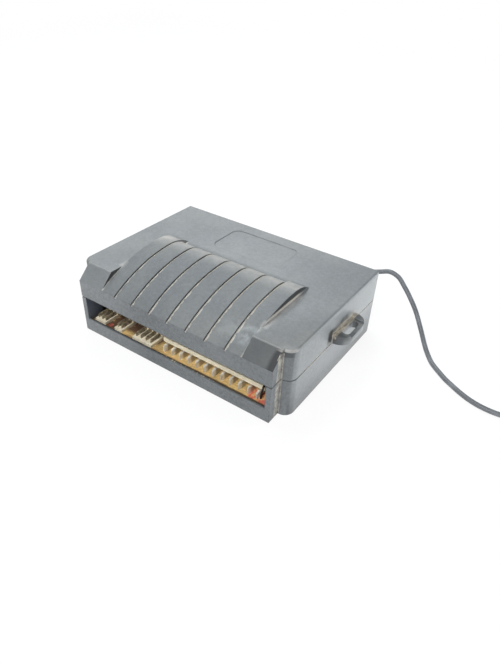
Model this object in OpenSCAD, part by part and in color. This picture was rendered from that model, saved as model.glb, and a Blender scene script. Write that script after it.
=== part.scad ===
// Electronics control module: two moulded shells, a connector bay in front and a wire antenna behind.
// X runs along the connector face, +Y to the back, +Z up. Millimetres. The underside is at z = 0.

/* [Case] */
// Width of the case across its two side walls
body_w = 100; // [98:1:116]
// Depth of the case behind the nose
body_d = 68; // [66:1:80]
// Height of the flat top
top_z = 29.2; // [28:0.2:33]
// Height of the parting line between the shells
split_z = 16.4; // [15.6:0.1:17]
// Wall thickness of both shells
wall = 2; // [1.8:0.1:2.3]
// Thickness of the floor
floor_t = 1.6; // [1.4:0.1:1.8]
// Radius of the front vertical corners
corner_r = 4; // [3:0.5:4]
// Radius along the upper edges
edge_r = 1.2; // [0.8:0.1:1.4]

/* [Nose] */
// How far the nose stands out in front of the case
nose_d = 6; // [5:0.5:8]
// Height of the lip above the connector opening
lip_z = 23.5; // [22:0.1:24.5]
// Height of the sill below the connector opening
sill_z = 5.8; // [5.4:0.1:6.4]
// Thickness of the sill
sill_t = 1; // [0.8:0.1:1.4]

/* [Hump] */
// Width of the hump across its ends
hump_w = 66.8; // [60:0.4:70]
// Height of the crest above the flat top
hump_rise = 3.7; // [2.6:0.1:5]
// Spacing of the slits
slit_pitch = 8.75; // [7.5:0.05:9]
// Width of a slit
slit_w = 0.8; // [0.6:0.1:1.2]
// Depth of a slit
slit_depth = 0.7; // [0.5:0.1:1]

/* [Ears] */
// Length of an ear along the side
ear_len = 18.7; // [17:0.1:22]
// How far an ear stands out from the side
ear_out = 6; // [5.6:0.1:8]
// Thickness of an ear at its raised ends
ear_t = 3.5; // [3:0.1:4.2]
// Depth of the seat across the middle of an ear
seat_depth = 0.7; // [0.4:0.1:1.2]
// Width of the fixing slot
slot_w = 3.2; // [2.8:0.1:3.4]
// Length of the fixing slot end to end
slot_len = 9.6; // [8:0.1:10.4]

/* [Label] */
// Width of the bare label recess
label_w = 33; // [28:0.2:44]
// Depth of the recess below the top
label_sink = 0.2; // [0.1:0.05:0.4]

/* [Board] */
// Thickness of the circuit board
board_t = 1.6; // [1.2:0.1:1.6]
// Gap below the board for its joints
board_gap = 1.4; // [1.3:0.1:1.8]

/* [Antenna] */
// Diameter of the antenna wire over its insulation
wire_d = 2; // [1.6:0.1:2.4]

/* [Hidden] */
$fn = 96;

// Plan
front_y = -(nose_d + body_d) / 2;
body_y = front_y + nose_d;
rear_y = body_y + body_d;
half_w = body_w / 2;
back_r = 2.5;
nose_w = body_w - 2 * corner_r - 0.4;
jamb = 2.1;
open_w = nose_w - 2 * jamb;
seam = 0.5;
seam_in = 0.3;

// Hump
crest_y = body_y + 27;
crest_z = top_z + hump_rise;
hump_front_z = lip_z + 0.1;
mid_foot = 8.9;
end_foot = 11.4;
mid_half = 3 * slit_pitch;
hump_drop = crest_z - hump_front_z;
front_run = crest_y - front_y;
front_r = (front_run * front_run + hump_drop * hump_drop) / (2 * hump_drop);
mid_rear_r = (mid_foot * mid_foot + hump_rise * hump_rise) / (2 * hump_rise);
end_rear_r = (end_foot * end_foot + hump_rise * hump_rise) / (2 * hump_rise);

// Ears
ear_y = body_y + 37.85;
slot_x = half_w + 2.8;
ear_end = 3.8;

// Case screws
post_x = half_w - wall - 3.5;
post_front_y = body_y + 9.5;
post_rear_y = rear_y - wall - 3.5;
post_r = 3.6;
boss_r = 3.2;
post_z = 6;
screw_d = 2.6;
screw_hole_d = 3;
screw_head_d = 4.6;
screw_head_h = 1.6;
head_bore_d = 5;
head_ledge_z = 2.2;
screw_tip_z = 13.6;
rib_t = 1;
rib_gap = 0.15;

// Board
board_z = floor_t + board_gap;
board_top = board_z + board_t;
board_w = open_w - 0.8;
board_front_y = front_y + 2.1;
board_rear_y = rear_y - wall - 1;
board_post_x = half_w - 16;
board_post_front_y = front_y + 18;
board_post_rear_y = rear_y - 17;
board_screw_d = 2;
pin_end_z = floor_t + 0.4;
joint_h = board_gap - 0.4;

// Headers
main_pitch = 3.96;
main_pin = 1.1;
main_count = 12;
four_pitch = 2.54;
small_pitch = 2;
main_w = main_count * main_pitch;
four_w = 4 * four_pitch;
two_w = 2 * small_pitch;
three_w = 2 * small_pitch + 1.8;
free_w = open_w - main_w - four_w - two_w - three_w;
three_x = -open_w / 2 + 0.08 * free_w + three_w / 2;
two_x = three_x + three_w / 2 + 0.26 * free_w + two_w / 2;
four_x = two_x + two_w / 2 + 0.297 * free_w + four_w / 2;
main_x = four_x + four_w / 2 + 0.186 * free_w + main_w / 2;
pin_z = board_top + 2.6;
pin_tip_y = front_y + 3.2;
main_bend_y = front_y + 10.6;
flap_y = front_y + 5.5;
main_body_y = front_y + 9.2;
small_pin = 0.64;
small_bend_y = front_y + 10.2;
small_body_y = front_y + 9;
small_body_d = 2.4;
plate_t = 1.3;
flap_z = board_top + 3.4;
flap_t = 2;

// Jumper link: from the board beside the last pin, up in front of the flap and back over it
link_d = 0.7;
link_x = main_x + main_w / 2 - 0.9;
link_y = flap_y - 0.9;
link_top = flap_z + flap_t + link_d / 2;
link_run = [[link_x, link_y, pin_end_z], [link_x, link_y, board_top + 2.4],
    [link_x + 0.5, flap_y - 0.5, link_top], [link_x + 0.5, main_body_y + 1.6, link_top]];

// Parts behind the connectors
relay_y = front_y + 29;
relay_x = [-0.4 * half_w, -0.04 * half_w, 0.32 * half_w];
relay_size = [15, 19, 15.5];
relay_pin_d = 0.8;
relay_pin_at = [[-6, -7.5], [6, -7.5], [0, -7.5], [-6, 7.5], [6, 7.5]];
cap_at = [[-half_w + 14, front_y + 31], [-half_w + 14, front_y + 43]];
cap_d = 10;
cap_h = 16;
lead_d = 0.6;
controller_at = [-0.18 * half_w, rear_y - 23];
controller_legs_n = 9;
leg_pitch = 2.54;
leg_row = 3.81;
regulator_at = [half_w - 17, front_y + 30];
crystal_at = [0.28 * half_w, rear_y - 23];
transistor_at = [for (k = [-0.56, -0.4, -0.24]) [k * half_w, rear_y - 12]];
resistor_at = [for (k = [-0.04, 0.24]) for (y = [14, 10]) [k * half_w, rear_y - y]];
diode_at = [for (y = [38, 43]) [half_w - 17, front_y + y]];
axial_span = 10;
resistor_body = [6.4, 2.3];
diode_body = [5.2, 2.8];
receiver_y = rear_y - 9;
receiver_x = half_w - 26;
receiver_w = 16;
receiver_t = 1;
receiver_z = board_top + 1.4;
receiver_h = 15.6;

// Antenna: distances right of the hole and behind the rear wall, then height above the ground
wire_x = half_w - 13;
wire_z = 20;
wire_hole = wire_d + 0.4;
wire_run = [[0, -8, wire_z], [0, -2, wire_z], [0.1, 3, wire_z], [1.6, 7.4, 20.3], [5, 9.9, 21],
    [9.2, 11.2, 22.1], [13.2, 11.6, 23.3], [17.4, 11.3, 22.3], [21, 10.1, 19.7], [24.3, 8.9, 16.9],
    [29, 6.9, 12.2], [33.8, 3.2, 7.1], [39.3, -2.9, 2.9], [44.1, -7.7, 1], [48.8, -11.7, 1],
    [53.1, -14.8, 1], [61.6, -19.3, 1], [69.2, -21, 1], [77, -20.3, 1], [85, -17.4, 1],
    [93, -12.6, 1], [100, -6.4, 1], [106.4, 1.2, 1], [111.6, 9.4, 1], [115.4, 18.2, 1],
    [116.9, 23.4, 1]];
wire_sides = 8;
wire_route = [for (p = wire_run) [wire_x + p[0], rear_y + p[1], p[2]]];

function unit(v) = v / norm(v);

// A point of a smooth curve through the route, t from 0 at the first point
function route_point(r, t) =
    let (n = len(r), i = min(floor(t), n - 2), u = t - i,
        a = r[max(i - 1, 0)], b = r[i], c = r[i + 1], d = r[min(i + 2, n - 1)])
    0.5 * (2 * b + (c - a) * u + (2 * a - 5 * b + 4 * c - d) * u * u + (3 * b - a - 3 * c + d) * u * u * u);

function lie_on_ground(p) = [p[0], p[1], max(p[2], wire_d / 2)];

function ring_points(p, dir, r, sides) =
    let (side = unit(cross(dir, [0, 0, 1])), up = cross(side, dir))
    [for (k = [0 : sides - 1]) p + r * (cos(360 * k / sides) * side + sin(360 * k / sides) * up)];

function pins(n, pitch) = [for (i = [0 : n - 1]) (i - (n - 1) / 2) * pitch];

// Outline of the case inset by d, with round front corners and tight back corners
module body_plan(d) {
    rf = corner_r - d;
    rb = max(back_r - d, 0.4);
    w = half_w - d;
    y0 = body_y + d;
    y1 = rear_y - d;
    translate([-w, y0 + rf])
        square([2 * w, y1 - y0 - rf - rb]);
    translate([-w + rf, y0])
        square([2 * (w - rf), 2 * rf]);
    translate([-w + rb, y1 - 2 * rb])
        square([2 * (w - rb), 2 * rb]);
    for (s = [-1, 1]) {
        translate([s * (w - rf), y0 + rf])
            circle(r = rf);
        translate([s * (w - rb), y1 - rb])
            circle(r = rb);
    }
}

// Outline of the case and its nose, walls inset by d
module case_plan(d) {
    side = d > 1 ? jamb : d;
    front = d > 1 ? sill_t : d;
    body_plan(d);
    translate([-nose_w / 2 + side, front_y + front])
        square([nose_w - 2 * side, nose_d + corner_r + d]);
}

module at_posts() {
    for (s = [-1, 1])
        for (y = [post_front_y, post_rear_y])
            translate([s * post_x, y, 0])
                children();
}

module at_board_posts() {
    for (s = [-1, 1])
        for (y = [board_post_front_y, board_post_rear_y])
            translate([s * board_post_x, y, 0])
                children();
}

module lower_shell() {
    color([0.13, 0.14, 0.15])
    difference() {
        union() {
            difference() {
                union() {
                    linear_extrude(split_z - seam)
                        case_plan(0);
                    linear_extrude(split_z)
                        case_plan(seam_in);
                }
                translate([0, 0, floor_t])
                    linear_extrude(split_z)
                        case_plan(wall);
            }
            at_posts()
                cylinder(r = post_r, h = post_z);
            at_board_posts()
                cylinder(r = 2.4, h = board_z);
        }
        translate([-open_w / 2, front_y - 1, sill_z])
            cube([open_w, nose_d + 1, split_z]);
        at_posts() {
            translate([0, 0, -1])
                cylinder(d = screw_hole_d, h = post_z + 2);
            translate([0, 0, -1])
                cylinder(d = head_bore_d, h = head_ledge_z + 1);
        }
        at_board_posts()
            translate([0, 0, 0.8])
                cylinder(d = board_screw_d, h = board_z);
    }
}

// Solid with the section [[y, z], ...] and width w about the middle
module section(points, w) {
    translate([-w / 2, 0, 0])
        rotate([90, 0, 90])
            linear_extrude(w)
                polygon(points);
}

// Long cylinder whose top is d below the crest of an arc of radius r
module roller(r, d) {
    translate([-half_w, crest_y, crest_z - r])
        rotate([0, 90, 0])
            cylinder(r = r - d, h = body_w);
}

// Part of the hump behind the crest, from x0 over the width w, down an arc of radius r
module hump_rear(x0, w, r) {
    intersection() {
        translate([x0, crest_y, split_z + 2])
            cube([w, end_foot + 4, crest_z]);
        roller(r, 0);
    }
}

// The raised form of the hump: a long arc in front of the crest, and behind it a steep arc in the
// middle and a longer one over the two end bands
module hump_form() {
    intersection() {
        translate([-hump_w / 2, front_y, split_z + 2])
            cube([hump_w, front_run, crest_z]);
        roller(front_r, 0);
    }
    hump_rear(-mid_half, 2 * mid_half, mid_rear_r);
    hump_rear(-hump_w / 2, hump_w / 2 - mid_half, end_rear_r);
    hump_rear(mid_half, hump_w / 2 - mid_half, end_rear_r);
}

// What is cut away above the front of the hump, width w and inset d
module hump_notch(w, d) {
    difference() {
        translate([-w / 2, front_y - 1, lip_z - 6])
            cube([w, front_run + 1, crest_z]);
        roller(front_r, d);
    }
}

// Rounding along the upper edges of the case
module edge_rounding() {
    r = edge_r;
    run = body_d - corner_r - back_r;
    for (s = [-1, 1]) {
        translate([s * (half_w - r), body_y + corner_r, top_z - r])
            difference() {
                translate([s > 0 ? 0 : -r - 1, 0, 0])
                    cube([r + 1, run + back_r + 1, r + 1]);
                translate([0, -1, 0])
                    rotate([-90, 0, 0])
                        cylinder(r = r, h = run + back_r + 3);
            }
        translate([s * (half_w - corner_r), body_y + corner_r, top_z - r])
            rotate([0, 0, s > 0 ? -90 : 180])
                rotate_extrude(angle = 90)
                    translate([corner_r - r, 0])
                        difference() {
                            square(r + 1);
                            circle(r = r);
                        }
    }
    translate([-half_w - 1, rear_y - r, top_z - r])
        difference() {
            cube([body_w + 2, r + 1, r + 1]);
            translate([-1, 0, 0])
                rotate([0, 90, 0])
                    cylinder(r = r, h = body_w + 4);
        }
}

module slits() {
    for (i = [-3 : 3]) {
        rear_run = abs(i) == 3 ? end_foot : mid_foot;
        rear_r = abs(i) == 3 ? end_rear_r : mid_rear_r;
        x = i * slit_pitch - slit_w / 2;
        difference() {
            translate([x, front_y - 1, lip_z - 4])
                cube([slit_w, front_run + 1, crest_z]);
            roller(front_r, slit_depth);
        }
        difference() {
            translate([x, crest_y, top_z])
                cube([slit_w, rear_run, crest_z]);
            roller(rear_r, slit_depth);
        }
    }
}

module label_recess() {
    r = 3.5;
    y0 = crest_y + 15.5;
    d = rear_y - 7 - y0;
    translate([-0.6, 0, top_z - label_sink])
        linear_extrude(label_sink + 1) {
            translate([-label_w / 2 + r, y0])
                square([label_w - 2 * r, d]);
            translate([-label_w / 2, y0 + r])
                square([label_w, d - 2 * r]);
            for (s = [-1, 1])
                for (y = [y0 + r, y0 + d - r])
                    translate([s * (label_w / 2 - r), y])
                        circle(r = r);
        }
}

// Plan of one ear on the right-hand side, reaching into the wall
module ear_plan() {
    r = ear_out - 0.5;
    translate([half_w - 1, -ear_len / 2])
        square([1.5, ear_len]);
    translate([half_w - 1, -ear_len / 2 + r])
        square([ear_out + 1, ear_len - 2 * r]);
    for (s = [-1, 1])
        intersection() {
            translate([half_w + 0.5, s * (ear_len / 2 - r)])
                circle(r = r);
            translate([half_w - 1, -ear_len / 2])
                square([ear_out + 1, ear_len]);
        }
}

module ears() {
    for (s = [0, 1])
        mirror([s, 0, 0])
            translate([0, ear_y, split_z])
                difference() {
                    linear_extrude(ear_t)
                        ear_plan();
                    translate([half_w, -ear_len / 2 + ear_end, ear_t - seat_depth])
                        cube([ear_out + 1, ear_len - 2 * ear_end, seat_depth + 1]);
                    translate([slot_x - slot_w / 2, -(slot_len - slot_w) / 2, -1])
                        cube([slot_w, slot_len - slot_w, ear_t + 2]);
                    for (e = [-1, 1])
                        translate([slot_x, e * (slot_len - slot_w) / 2, -1])
                            cylinder(d = slot_w, h = ear_t + 2);
                }
}

// Ribs that locate the upper shell inside the walls of the lower one
module locating_ribs() {
    x = half_w - wall;
    y = rear_y - wall;
    side_run = body_d - 26;
    rear_run = body_w - 40;
    for (s = [0, 1])
        mirror([s, 0, 0]) {
            translate([x - rib_gap - rib_t, body_y + 14, split_z - 1.5])
                cube([rib_t, side_run, 3]);
            translate([x - rib_gap - rib_t, body_y + 14, split_z])
                cube([rib_t + rib_gap + 0.2, side_run, 1.5]);
        }
    translate([-rear_run / 2, y - rib_gap - rib_t, split_z - 1.5])
        cube([rear_run, rib_t, 3]);
    translate([-rear_run / 2, y - rib_gap - rib_t, split_z])
        cube([rear_run, rib_t + rib_gap + 0.2, 1.5]);
}

module upper_outside() {
    difference() {
        union() {
            difference() {
                translate([0, 0, split_z])
                    linear_extrude(top_z - split_z)
                        body_plan(0);
                edge_rounding();
            }
            section([[front_y, split_z], [front_y, lip_z], [body_y, top_z],
                [body_y + corner_r + 1, top_z], [body_y + corner_r + 1, split_z]], nose_w);
        }
        hump_notch(hump_w, 0);
    }
    hump_form();
}

module upper_inside() {
    slope = atan2(top_z - lip_z, nose_d);
    in_y = front_y + wall;
    under = top_z - wall;
    lip_in = lip_z + wall * tan(slope) - wall / cos(slope);
    bend_y = in_y + (under - lip_in) / tan(slope);
    difference() {
        union() {
            translate([0, 0, split_z - 1])
                linear_extrude(under - split_z + 1)
                    body_plan(wall);
            section([[in_y, split_z - 1], [in_y, lip_in], [bend_y, under],
                [bend_y + corner_r, under], [bend_y + corner_r, split_z - 1]], nose_w - 2 * jamb);
        }
        hump_notch(hump_w + 2 * wall, wall);
    }
    intersection() {
        translate([-hump_w / 2 + wall, front_y + wall, split_z])
            cube([hump_w - 2 * wall, crest_y - front_y - wall, crest_z]);
        roller(front_r, wall);
    }
    intersection() {
        translate([-hump_w / 2 + wall, crest_y, split_z + 4])
            cube([hump_w - 2 * wall, mid_foot, crest_z]);
        roller(mid_rear_r, wall);
    }
}

module upper_shell() {
    color([0.15, 0.16, 0.17])
    difference() {
        union() {
            difference() {
                upper_outside();
                upper_inside();
                slits();
                label_recess();
            }
            ears();
            locating_ribs();
            at_posts()
                translate([0, 0, post_z])
                    cylinder(r = boss_r, h = top_z - wall / 2 - post_z);
        }
        at_posts()
            translate([0, 0, post_z - 1])
                cylinder(d = screw_d, h = screw_tip_z - post_z + 2);
        translate([wire_x, rear_y + 1, wire_z])
            rotate([90, 0, 0])
                cylinder(d = wire_hole, h = wall + 2);
    }
}

// Cross recess of a screw head, opening down at z = 0
module cross_recess(size, depth) {
    for (a = [0, 90])
        rotate([0, 0, a])
            translate([-size / 2, -0.3, -1])
                cube([size, 0.6, depth + 1]);
}

module case_screws() {
    color([0.55, 0.56, 0.58])
    at_posts()
        difference() {
            union() {
                translate([0, 0, head_ledge_z - screw_head_h])
                    cylinder(d = screw_head_d, h = screw_head_h);
                translate([0, 0, head_ledge_z - 0.2])
                    cylinder(d = screw_d, h = screw_tip_z - head_ledge_z + 0.2);
            }
            translate([0, 0, head_ledge_z - screw_head_h])
                cross_recess(2.8, 0.9);
        }
}

// Round holes for a row of square pins
module pin_holes(x, y, n, pitch, d) {
    for (p = pins(n, pitch))
        translate([x + p, y, board_z - 1])
            cylinder(d = d, h = board_t + 2);
}

module circuit_board() {
    color([0.72, 0.55, 0.30])
    difference() {
        translate([-board_w / 2, board_front_y, board_z])
            cube([board_w, board_rear_y - board_front_y, board_t]);
        at_posts()
            translate([0, 0, board_z - 1])
                cylinder(r = post_r + 0.3, h = board_t + 2);
        at_board_posts()
            translate([0, 0, board_z - 1])
                cylinder(d = board_screw_d + 0.4, h = board_t + 2);
        translate([link_x, link_y, board_z - 1])
            cylinder(d = link_d, h = board_t + 2);
        pin_holes(main_x, main_bend_y, main_count, main_pitch, 1.7);
        pin_holes(four_x, small_bend_y, 4, four_pitch, 1);
        pin_holes(two_x, small_bend_y, 2, small_pitch, 1);
        pin_holes(three_x, small_bend_y, 3, small_pitch, 1);
        for (p = relay_points())
            translate([p[0], p[1], board_z - 1])
                cylinder(d = relay_pin_d + 0.2, h = board_t + 2);
        for (s = [-1, 1])
            pin_holes(controller_at[0], controller_at[1] + s * leg_row, controller_legs_n, leg_pitch, 0.9);
        for (p = plain_leads())
            translate([p[0], p[1], board_z - 1])
                cylinder(d = lead_d, h = board_t + 2);
    }
}

module board_screws() {
    color([0.62, 0.62, 0.60])
    at_board_posts()
        difference() {
            union() {
                translate([0, 0, 0.9])
                    cylinder(d = board_screw_d, h = board_top - 0.9 + 0.1);
                translate([0, 0, board_top])
                    cylinder(d = 4, h = 1.4);
            }
            translate([0, 0, board_top + 1.4])
                mirror([0, 0, 1])
                    cross_recess(2.2, 0.8);
        }
}

// Right-angle square pins: tips forward, tails down through the board
module angle_pins(x, n, pitch, size, bend_y) {
    for (p = pins(n, pitch))
        translate([x + p - size / 2, 0, 0]) {
            translate([0, pin_tip_y, pin_z - size / 2])
                cube([size, bend_y - pin_tip_y + size / 2, size]);
            translate([0, bend_y - size / 2, pin_end_z])
                cube([size, size, pin_z - pin_end_z]);
        }
}

module main_header() {
    color([0.90, 0.87, 0.76])
    difference() {
        union() {
            translate([main_x - main_w / 2, main_body_y, board_top])
                cube([main_w, 3, flap_z + flap_t - board_top]);
            translate([main_x - main_w / 2, flap_y, flap_z])
                cube([main_w, main_body_y - flap_y + 0.5, flap_t]);
        }
        angle_pins(main_x, main_count, main_pitch, main_pin, main_bend_y);
    }
}

module main_header_pins() {
    color([0.78, 0.77, 0.73])
    angle_pins(main_x, main_count, main_pitch, main_pin, main_bend_y);
}

// Small friction-lock header: a plate under the pins with a raised lip, and a block that holds them
module small_header(x, n, pitch, w) {
    difference() {
        union() {
            translate([x - w / 2, small_body_y, board_top])
                cube([w, small_body_d, 4]);
            translate([x - w / 2, board_front_y, board_top])
                cube([w, small_body_y - board_front_y + 0.5, plate_t]);
        }
        angle_pins(x, n, pitch, small_pin, small_bend_y);
    }
}

module four_way_header() {
    color([0.90, 0.87, 0.76])
    small_header(four_x, 4, four_pitch, four_w);
}

module four_way_pins() {
    color([0.78, 0.77, 0.73])
    angle_pins(four_x, 4, four_pitch, small_pin, small_bend_y);
}

module two_way_header() {
    color([0.90, 0.87, 0.76])
    small_header(two_x, 2, small_pitch, two_w);
}

module two_way_pins() {
    color([0.78, 0.77, 0.73])
    angle_pins(two_x, 2, small_pitch, small_pin, small_bend_y);
}

module three_way_header() {
    color([0.90, 0.87, 0.76])
    small_header(three_x, 3, small_pitch, three_w);
}

module three_way_pins() {
    color([0.78, 0.77, 0.73])
    angle_pins(three_x, 3, small_pitch, small_pin, small_bend_y);
}

// Round rod from a to b
module rod(a, b, d) {
    v = b - a;
    translate(a)
        rotate([0, acos(v[2] / norm(v)), atan2(v[1], v[0])])
            cylinder(d = d, h = norm(v));
}

module jumper_link() {
    color([0.06, 0.06, 0.06]) {
        for (i = [0 : len(link_run) - 2])
            rod(link_run[i], link_run[i + 1], link_d);
        for (i = [1 : len(link_run) - 2])
            translate(link_run[i])
                sphere(d = link_d + 0.08);
    }
}

function relay_points() = [for (x = relay_x) for (p = relay_pin_at) [x + p[0], relay_y + p[1]]];

module relays() {
    color([0.10, 0.16, 0.34])
    for (x = relay_x)
        translate([x - relay_size[0] / 2, relay_y - relay_size[1] / 2, board_top])
            cube(relay_size);
}

module relay_pins() {
    color([0.78, 0.77, 0.73])
    for (p = relay_points())
        translate([p[0], p[1], pin_end_z])
            cylinder(d = relay_pin_d, h = board_top - pin_end_z);
}

module controller() {
    l = controller_legs_n * leg_pitch;
    color([0.10, 0.10, 0.11])
    translate([controller_at[0], controller_at[1], board_top])
        difference() {
            translate([-l / 2, -3.2, 0.5])
                cube([l, 6.4, 3.3]);
            translate([-l / 2, 0, 3])
                cylinder(r = 1, h = 2);
        }
}

module controller_legs() {
    color([0.78, 0.77, 0.73])
    for (s = [0, 1])
        translate([controller_at[0], controller_at[1], 0])
            mirror([0, s, 0])
                for (p = pins(controller_legs_n, leg_pitch)) {
                    translate([p - 0.25, leg_row - 0.15, pin_end_z])
                        cube([0.5, 0.3, board_top + 2 - pin_end_z]);
                    translate([p - 0.6, 3.2, board_top + 1.7])
                        cube([1.2, leg_row + 0.15 - 3.2, 0.3]);
                }
}

module reservoir_capacitors() {
    color([0.12, 0.18, 0.36])
    for (p = cap_at)
        translate([p[0], p[1], board_top])
            difference() {
                cylinder(d = cap_d, h = cap_h);
                translate([0, 0, cap_h - 1.6])
                    rotate_extrude()
                        translate([cap_d / 2 + 0.3, 0])
                            circle(r = 0.8);
                for (a = [0, 90])
                    rotate([0, 0, a])
                        translate([-3, -0.15, cap_h - 0.3])
                            cube([6, 0.3, 1]);
            }
}

function capacitor_points() = [for (p = cap_at) for (s = [-1, 1]) [p[0] + s * 2.5, p[1]]];

module straight_leads(points) {
    for (p = points)
        translate([p[0], p[1], pin_end_z])
            cylinder(d = lead_d, h = board_top - pin_end_z);
}

module capacitor_leads() {
    color([0.78, 0.77, 0.73])
    straight_leads(capacitor_points());
}

module regulator() {
    color([0.11, 0.11, 0.12])
    translate([regulator_at[0] - 5, regulator_at[1] - 3.2, board_top + 4])
        cube([10, 3.2, 9]);
}

module regulator_tab() {
    color([0.70, 0.70, 0.69])
    difference() {
        translate([regulator_at[0] - 5, regulator_at[1], board_top + 4])
            cube([10, 1.3, 14.6]);
        translate([regulator_at[0], regulator_at[1] - 1, board_top + 15.8])
            rotate([-90, 0, 0])
                cylinder(d = 3.6, h = 4);
    }
}

function regulator_points() = [for (p = pins(3, 2.54)) [regulator_at[0] + p, regulator_at[1] - 1.6]];

module regulator_legs() {
    color([0.78, 0.77, 0.73])
    for (p = regulator_points())
        translate([p[0], p[1], pin_end_z])
            cylinder(d = lead_d, h = board_top + 4 - pin_end_z);
}

module crystal() {
    color([0.74, 0.74, 0.73])
    translate([crystal_at[0], crystal_at[1], board_top]) {
        translate([-3.4, -2.1, 0])
            cube([6.8, 4.2, 3.5]);
        for (s = [-1, 1])
            translate([s * 3.4, 0, 0])
                cylinder(d = 4.2, h = 3.5);
        for (s = [-1, 1])
            translate([s * 2.44, 0, pin_end_z - board_top])
                cylinder(d = lead_d, h = board_top - pin_end_z + 0.2);
    }
}

function crystal_points() = [for (s = [-1, 1]) [crystal_at[0] + s * 2.44, crystal_at[1]]];

function axial_points(at) = [for (p = at) for (s = [-1, 1]) [p[0] + s * axial_span / 2, p[1]]];

// Bodies of parts lying on the board, along X
module axial_bodies(at, body) {
    for (p = at)
        translate([p[0] - body[0] / 2, p[1], board_top + body[1] / 2])
            rotate([0, 90, 0])
                cylinder(d = body[1], h = body[0]);
}

module axial_leads(at, body) {
    z = board_top + body[1] / 2;
    for (p = at)
        for (s = [0, 1])
            translate([p[0], p[1], 0])
                mirror([s, 0, 0]) {
                    translate([body[0] / 2, 0, z])
                        rotate([0, 90, 0])
                            cylinder(d = lead_d, h = (axial_span - body[0]) / 2);
                    translate([axial_span / 2, 0, z])
                        sphere(d = lead_d);
                    translate([axial_span / 2, 0, pin_end_z])
                        cylinder(d = lead_d, h = z - pin_end_z);
                }
}

module resistors() {
    color([0.72, 0.62, 0.46])
    axial_bodies(resistor_at, resistor_body);
}

module resistor_leads() {
    color([0.78, 0.77, 0.73])
    axial_leads(resistor_at, resistor_body);
}

module diodes() {
    color([0.12, 0.12, 0.13])
    axial_bodies(diode_at, diode_body);
}

module diode_leads() {
    color([0.78, 0.77, 0.73])
    axial_leads(diode_at, diode_body);
}

module transistors() {
    color([0.11, 0.11, 0.12])
    for (p = transistor_at)
        translate([p[0], p[1], board_top + 2])
            difference() {
                cylinder(d = 4.8, h = 4.7);
                translate([-3, -4.3, -1])
                    cube([6, 3, 7]);
            }
}

function transistor_points() = [for (p = transistor_at) for (q = pins(3, 1.27)) [p[0] + q, p[1]]];

module transistor_leads() {
    color([0.78, 0.77, 0.73])
    for (p = transistor_points())
        translate([p[0], p[1], pin_end_z])
            cylinder(d = lead_d, h = board_top + 2 - pin_end_z);
}

module receiver_board() {
    color([0.18, 0.36, 0.24])
    translate([receiver_x, receiver_y, receiver_z])
        cube([receiver_w, receiver_t, receiver_h]);
}

module receiver_can() {
    color([0.76, 0.76, 0.74])
    translate([receiver_x + 3, receiver_y - 3.4, receiver_z + 4])
        cube([10, 3.4, 9]);
}

function receiver_points() =
    [for (p = pins(5, 2.54)) [receiver_x + receiver_w / 2 + p, receiver_y + receiver_t / 2]];

module receiver_pins() {
    color([0.78, 0.77, 0.73])
    for (p = receiver_points())
        translate([p[0], p[1], pin_end_z])
            cylinder(d = lead_d, h = receiver_z - pin_end_z);
}

function plain_leads() = concat(capacitor_points(), regulator_points(), crystal_points(),
    axial_points(resistor_at), axial_points(diode_at), transistor_points(), receiver_points());

// Joints under the board round the square pins and the relay pins
module joint() {
    translate([0, 0, board_z - joint_h])
        cylinder(r1 = 0.6, r2 = 0.95, h = joint_h);
}

module joint_row(x, y, n, pitch) {
    for (p = pins(n, pitch))
        translate([x + p, y, 0])
            joint();
}

module solder_joints() {
    color([0.66, 0.66, 0.65])
    difference() {
        union() {
            for (p = pins(main_count, main_pitch))
                translate([main_x + p, main_bend_y, board_z - joint_h])
                    cylinder(r1 = 1, r2 = 1.5, h = joint_h);
            joint_row(four_x, small_bend_y, 4, four_pitch);
            joint_row(two_x, small_bend_y, 2, small_pitch);
            joint_row(three_x, small_bend_y, 3, small_pitch);
            for (s = [-1, 1])
                joint_row(controller_at[0], controller_at[1] + s * leg_row, controller_legs_n, leg_pitch);
            for (p = relay_points())
                translate([p[0], p[1], 0])
                    joint();
        }
        angle_pins(main_x, main_count, main_pitch, main_pin, main_bend_y);
        angle_pins(four_x, 4, four_pitch, small_pin, small_bend_y);
        angle_pins(two_x, 2, small_pitch, small_pin, small_bend_y);
        angle_pins(three_x, 3, small_pitch, small_pin, small_bend_y);
        for (s = [-1, 1])
            for (p = pins(controller_legs_n, leg_pitch))
                translate([controller_at[0] + p - 0.25, controller_at[1] + s * leg_row - 0.15, 0])
                    cube([0.5, 0.3, board_top]);
        for (p = relay_points())
            translate([p[0], p[1], 0])
                cylinder(d = relay_pin_d, h = board_top);
    }
}

module antenna_wire() {
    steps = 2 * (len(wire_route) - 1);
    line = [for (i = [0 : steps]) lie_on_ground(route_point(wire_route, i / 2))];
    dirs = [for (i = [0 : steps]) unit(line[min(i + 1, steps)] - line[max(i - 1, 0)])];
    rings = [for (i = [0 : steps]) ring_points(line[i], dirs[i], wire_d / 2, wire_sides)];
    points = [for (r = rings) for (p = r) p];
    n = wire_sides;
    sides = [for (i = [0 : steps - 1]) for (k = [0 : n - 1])
        [i * n + k, i * n + (k + 1) % n, (i + 1) * n + (k + 1) % n, (i + 1) * n + k]];
    start_cap = [[for (k = [n - 1 : -1 : 0]) k]];
    end_cap = [[for (k = [0 : n - 1]) steps * n + k]];
    color([0.22, 0.23, 0.24])
    polyhedron(points = points, faces = concat(sides, start_cap, end_cap), convexity = 6);
}

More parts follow.
